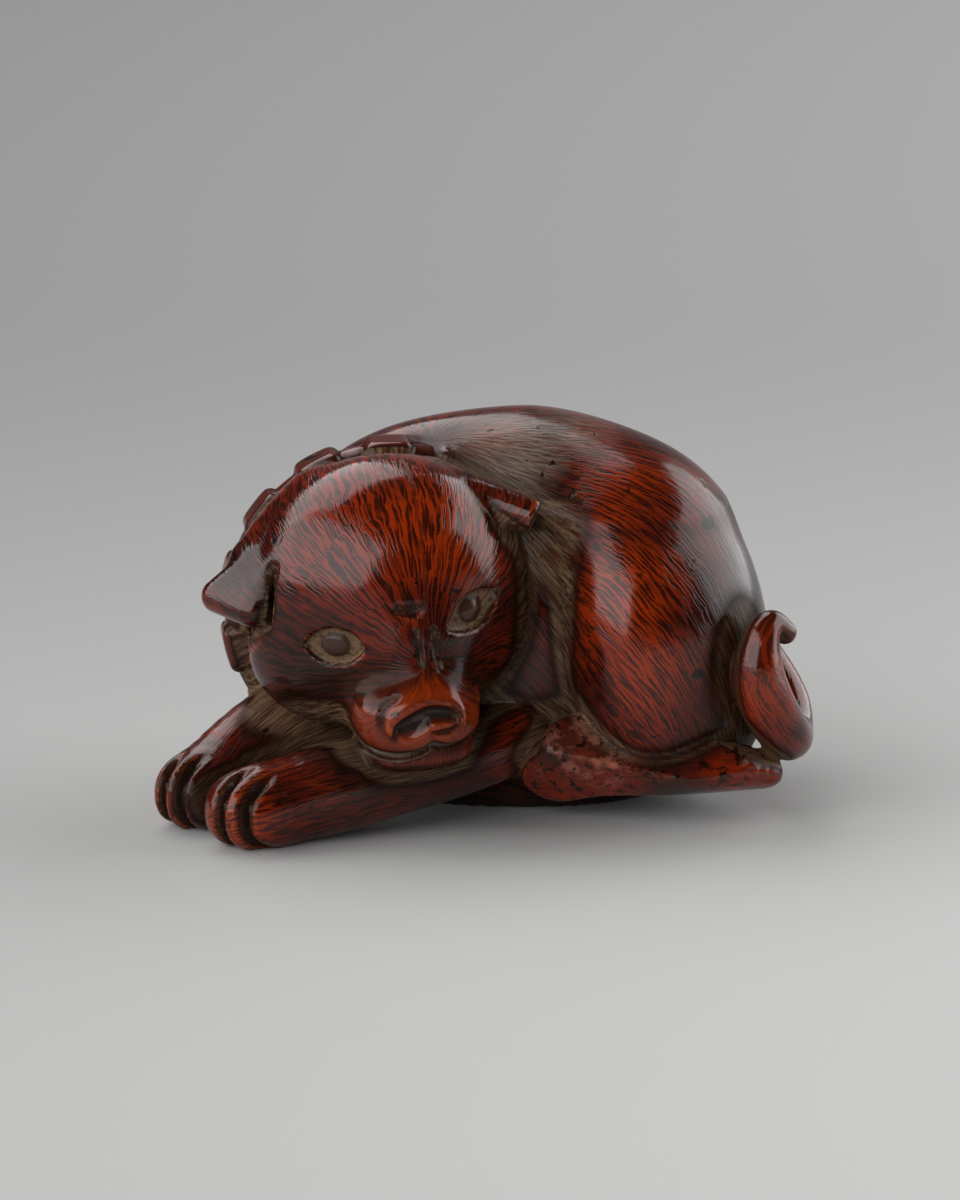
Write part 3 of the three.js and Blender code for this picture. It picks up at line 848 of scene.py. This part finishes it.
# The strokes wander and sway a little, and keep about one width: their number round a form
# doubles as its girth doubles. The scale of a noise is how often it repeats in a millimetre.
wander = add("TexNoise", place, Scale=0.25, Detail=2.0, Roughness=0.5)
sway = add("TexNoise", place, Scale=0.9, Detail=1.0, Roughness=0.5)
share_round = add("Math", turn, 2 * np.pi, **OVER)
pitches_round = add("Math", add("Math", girth, 2 * np.pi, **TIMES), pitch, **OVER)
octave = add("Math", pitches_round, 2.0, operation="LOGARITHM")
octave = add("Math", wander, 1.6, octave, **TIMES_PLUS)
octave = add("Math", add("Math", octave, 0.8, **LESS), operation="FLOOR")
columns = add("Math", 2.0, octave, operation="POWER")
across_form = add("Math", share_round, columns, add("Math", wander, 1.2, **TIMES), **TIMES_PLUS)
across_form = add("Math", sway, 0.5, across_form, **TIMES_PLUS)


def strokes(layer, width):
    """One layer of tapering strokes, each in a column of its own and a little askew. A width
    is a share of a column, and each layer is shifted so that its strokes miss the others."""
    most_aside, most_askew, soft_edge = 0.5, 0.7, 0.05
    thin, spread = width * 0.25, width * 0.75
    across = add("Math", across_form, layer * 0.37, **PLUS)
    column = add("Math", across, operation="FLOOR")
    column_name = add("Math", column, layer * 31.7, **PLUS)
    start = add("TexWhiteNoise", column_name, noise_dimensions="1D")
    along = add("Math", start, 9.0, add("Math", run, length, **OVER), **TIMES_PLUS)
    row = add("Math", along, operation="FLOOR")
    stroke = add("CombineXYZ", column, row, layer * 5.3)
    chance = add("TexWhiteNoise", stroke, noise_dimensions="3D", output=1)
    wide, aside, askew = (add("SeparateXYZ", chance, output=i) for i in range(3))
    x = add("Math", add("Math", across, column, **LESS), 0.5, **LESS)
    y = add("Math", add("Math", along, row, **LESS), 0.5, **LESS)
    aside = add("Math", add("Math", aside, 0.5, **LESS), most_aside, **TIMES)
    askew = add("Math", add("Math", askew, 0.5, **LESS), most_askew, **TIMES)
    x = add("Math", y, askew, add("Math", x, aside, **LESS), **TIMES_PLUS)
    from_middle = add("Math", add("Math", y, 2.0, **TIMES), operation="ABSOLUTE")
    taper = add("Math", 1.0, add("Math", from_middle, 2.0, operation="POWER"), **LESS)
    half = add("Math", wide, spread, thin, **TIMES_PLUS)
    half = add("Math", half, taper, **TIMES)
    outside = add("Math", add("Math", x, operation="ABSOLUTE"), half, **LESS)
    return add("MapRange", outside, soft_edge, -soft_edge, **EASED)


ink = add("Math", strokes(0, 0.25), strokes(1, 0.2), **LARGER)
ink = add("Math", ink, strokes(2, 0.17), **LARGER)
wear = add("TexNoise", place, Scale=1.4, Detail=3.0, Roughness=0.6)
ink = add("Math", ink, add("MapRange", wear, 0.3, 0.55, 0.55, 1.0, **EASED), **TIMES)
ink = add("Math", ink, strength, **TIMES)

# Fine cross grain of the wood, about 0.1 mm, and broad clouds of thicker and thinner stain.
grain_place = add("Mapping", place, Scale=(1.0, 1.0, 8.0))
grain = add("TexNoise", grain_place, Scale=1.1, Detail=5.0, Roughness=0.75)
cloud = add("TexNoise", place, Scale=0.17, Detail=3.0, Roughness=0.6)
black_cloud = add("MapRange", cloud, 0.3, 0.5, 0.4, 0.95, **EASED)

# Painted shade and dirt darken the hollows, and dust clings there in strands along the hair. It
# is wiped off the bare places and the paws, and lies in specks in the ring of each eye.
strand_place = add(
    "CombineXYZ", add("Math", share_round, 240.0, **TIMES), add("Math", run, 0.3, **TIMES), girth
)
strands = add("TexNoise", strand_place, Scale=1.0, Detail=4.0, Roughness=0.7)
specks = add("TexNoise", place, Scale=3.5, Detail=4.0)
specks = add("MapRange", specks, 0.3, 0.6, 0.25, 0.9, **EASED)
in_ring = add("MapRange", known["ring"], 0.03, -0.1, **EASED)
in_pupil = add("MapRange", known["pupil"], 0.1, -0.1, **EASED)
# painted shade and dirt: darker the more wood stands close in front of a point
hollow_shade_and_dirt = add("MapRange", known["sunk"], 0.08, 0.3, **EASED)
dust = add("MapRange", known["sunk"], 0.27, 0.48, **EASED)
dust = add("Math", dust, add("MapRange", strands, 0.38, 0.68, 0.1, 1.0, **EASED), **TIMES)
dust = add("Math", dust, add("Math", 1.0, known["bare"], **LESS), **TIMES)
dust = add("Math", dust, add("Math", 1.0, known["wiped"], **LESS), **TIMES)
dust = add("Math", dust, add("Math", in_ring, specks, **TIMES), **LARGER)
dust = add("Math", dust, add("Math", 1.0, in_pupil, **LESS), use_clamp=True, **TIMES)
film_in_strands = add("MapRange", strands, 0.35, 0.65, 0.15, 0.7, **EASED)

# Small chips and pits, drawn out along the hair, and the rough end of the worn foot.
pit_place = add(
    "CombineXYZ", add("Math", share_round, 26.0, **TIMES), add("Math", run, 0.55, **TIMES), girth
)
chips = add("TexNoise", pit_place, Scale=1.0, Detail=2.0, Roughness=0.5)
rough = add("TexNoise", place, Scale=1.5, Detail=6.0, Roughness=0.7)
patches = add("TexNoise", place, Scale=0.55, Detail=5.0, Roughness=0.65)
pocked = add("Math", known["foot"], add("MapRange", rough, 0.55, 0.6, **EASED), **TIMES)
pits = add("Math", add("MapRange", chips, 0.69, 0.73, **EASED), pocked, **LARGER)
worn_patches = add("MapRange", patches, 0.47, 0.62, 0.1, 0.95, **EASED)
# painted shade and dirt in the grooves between the toes, by their depth
toe_groove_shade_and_dirt = add("MapRange", known["toe cut"], 0.2, 0.6, **EASED)

coats = [
    # how much of each coat lies over the stain, and its colour, from the wood outwards
    (add("Math", known["rubbed"], 0.7, **TIMES), "#AC3604"),  # stain rubbed thin by hands
    (add("MapRange", grain, 0.4, 0.75, 0.0, 0.45, **EASED), "#4A160A"),  # stain in the pores
    (add("Math", known["collar"], 0.75, **TIMES), "#451C14"),  # the duller collar
    (add("MapRange", known["edge"], 0.3, 1.0, 0.0, 0.6, **EASED), "#B8521C"),  # worn edges
    (add("Math", known["bare"], 0.6, **TIMES), "#93380F"),  # the nose, lips and ear tip
    (add("Math", known["black_stain_and_shade"], black_cloud, **TIMES), "#2A1712"),  # black stain, and painted shade under the head and near the table
    (add("Math", ink, 0.88, **TIMES), "#120907"),  # ink in the hair strokes
    (add("Math", hollow_shade_and_dirt, 0.85, **TIMES), "#1A100C"),  # painted shade and dirt in the hollows
    (add("Math", known["film"], film_in_strands, **TIMES), "#8A7A6E"),  # dull grey film
    (add("MapRange", known["face cut"], 0.12, 0.4, **EASED), "#2A211E"),  # painted shade and dirt in the cuts of the face
    (add("MapRange", known["mouth"], 0.22, 0.4, **EASED), "#5C5048"),  # and dirt in the lips
    (dust, "#725A44"),  # brown dust
    (add("Math", toe_groove_shade_and_dirt, 0.85, **TIMES), "#1A1210"),  # painted shade and dirt between the toes
    (in_pupil, "#3A261C"),  # stained pupils
    (add("Math", known["worn foot"], worn_patches, **TIMES), "#A2604E"),  # the raw worn toes
    (add("Math", pits, 0.9, **TIMES), "#120B0A"),  # dirt in chips and pits
]
stain = add("MapRange", cloud, 0.38, 0.6, **EASED)
colour = add("Mix", stain, linear("#4A130A"), linear("#842608"), **COLOURS)
for share, code in coats:
    colour = add("Mix", share, colour, linear(code), **COLOURS)

# The strokes and pits are sunk, and the grain, the strands of dust and the worn toes stand up.
# The lacquer follows them less than the wood under it does, and is missing where dust lies.
matte = add("Math", dust, add("Math", hollow_shade_and_dirt, 0.75, **TIMES), use_clamp=True, **LARGER)
relief = add("Math", ink, -0.6, add("Math", grain, 0.25, **TIMES), **TIMES_PLUS)
relief = add("Math", strands, add("Math", matte, 0.6, **TIMES), relief, **TIMES_PLUS)
relief = add("Math", pits, -1.5, relief, **TIMES_PLUS)
raw_toes = add("Math", known["worn foot"], rough, **TIMES)
relief = add("Math", raw_toes, 12.0, relief, **TIMES_PLUS)
RELIEF_HEIGHT = 0.00006  # metres for a relief of 1

skin = add(
    "BsdfPrincipled",
    Base_Color=colour,
    Roughness=0.8,
    Specular_IOR_Level=0.0,
    Coat_Weight=add("Math", 1.0, matte, use_clamp=True, **LESS),
    Coat_Roughness=0.12,
    Normal=add("Bump", Strength=0.6, Distance=RELIEF_HEIGHT, Height=relief),
    Coat_Normal=add("Bump", Strength=0.18, Distance=RELIEF_HEIGHT, Height=relief),
)
add("OutputMaterial", Surface=skin)
mesh.materials.append(wood)
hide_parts("netsuke")
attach(carved, "root")

# ---------------------------------------------------------------- table and backdrop
# A sheet of matt pale grey card that lies flat and curves up behind. Light falloff is painted
# on it: darker towards the back and lighter towards the right. From here on sizes are in metres.
CARD_HALF_WIDTH = 1.2
CARD_FRONT = -0.9
BEND_START = 0.45
BEND_RADIUS = 0.3
CARD_TOP = 1.2
PAINTED_FALLOFF_FROM, PAINTED_FALLOFF_TO = -0.09, 0.18
PAINTED_LIGHT_PER_METRE = 2.6

bend = np.linspace(0, np.pi / 2, 12)
profile = [(CARD_FRONT, 0.0)]
profile += [(BEND_START + BEND_RADIUS * np.sin(t), BEND_RADIUS * (1 - np.cos(t))) for t in bend]
profile += [(BEND_START + BEND_RADIUS, CARD_TOP)]
card_points = [(x, y, z) for x in (-CARD_HALF_WIDTH, CARD_HALF_WIDTH) for y, z in profile]
rows = len(profile)
card_faces = [(i, rows + i, rows + i + 1, i + 1) for i in range(rows - 1)]
card_mesh = bpy.data.meshes.new("backdrop card")
card_mesh.from_pydata(card_points, [], card_faces)
card_mesh.shade_smooth()
card = bpy.data.objects.new("backdrop_card", card_mesh)
bpy.context.scene.collection.objects.link(card)

card_paint = material("matt grey card")
tree = card_paint.node_tree
card_place = add("NewGeometry")
# painted light falloff: darker towards the back and lighter towards the right
away = add("MapRange", add("SeparateXYZ", card_place, output=1), PAINTED_FALLOFF_FROM, PAINTED_FALLOFF_TO, **EASED)
grey = add("Mix", away, linear("#B2B2B1"), linear("#868686"), **COLOURS)
lighter = add("Math", add("SeparateXYZ", card_place), PAINTED_LIGHT_PER_METRE, 1.0, **TIMES_PLUS)
grey = add("VectorMath", grey, lighter, operation="SCALE")
add("OutputMaterial", add("BsdfPrincipled", Base_Color=grey, Roughness=0.9))
card_mesh.materials.append(card_paint)

# ---------------------------------------------------------------- soft studio light
# A large softbox to the left, one overhead and a little behind, and a smaller one low on the
# right. Between them the polished wood mirrors a dark room.
TARGET = Vector((-0.00035, 0.0006, 0.0137))  # the middle of the view


def softbox(name, direction, distance, width, height, power):
    """A rectangular light that faces the target from a direction and distance."""
    lamp = bpy.data.lights.new(name, "AREA")
    lamp.shape = "RECTANGLE"
    lamp.size, lamp.size_y = width, height
    lamp.energy = power
    stand = bpy.data.objects.new(name, lamp)
    stand.location = TARGET + Vector(direction).normalized() * distance
    stand.rotation_euler = (TARGET - stand.location).to_track_quat("-Z", "Y").to_euler()
    bpy.context.scene.collection.objects.link(stand)


softbox("left softbox", (-0.74, -0.5, 0.46), distance=0.7, width=1.6, height=0.66, power=9.2)
softbox("top softbox", (-0.4, 0.5, 0.8), distance=0.6, width=0.6, height=0.5, power=2.6)
softbox("right softbox", (0.86, 0.36, 0.38), distance=0.6, width=0.8, height=0.6, power=4.6)

room = bpy.data.worlds.new("dim studio")
room.use_nodes = True
walls = room.node_tree.nodes["Background"]
walls.inputs["Color"].default_value = linear("#8C8C8C")
walls.inputs["Strength"].default_value = 0.03
bpy.context.scene.world = room

# ---------------------------------------------------------------- camera
# A long lens, a little above the carving and straight before its long side.
CAMERA_DISTANCE = 0.558
CAMERA_TILT = np.radians(13)

lens = bpy.data.cameras.new("long lens")
lens.sensor_fit = "HORIZONTAL"
lens.sensor_width = 36
lens.lens = 312
lens.clip_end = 10
camera = bpy.data.objects.new("camera", lens)
straight_before = Vector((0, -np.cos(CAMERA_TILT), np.sin(CAMERA_TILT)))
camera.location = TARGET + CAMERA_DISTANCE * straight_before
camera.rotation_euler = (TARGET - camera.location).to_track_quat("-Z", "Y").to_euler()
bpy.context.scene.collection.objects.link(camera)
bpy.context.scene.camera = camera
bpy.context.scene.view_settings.view_transform = "Standard"
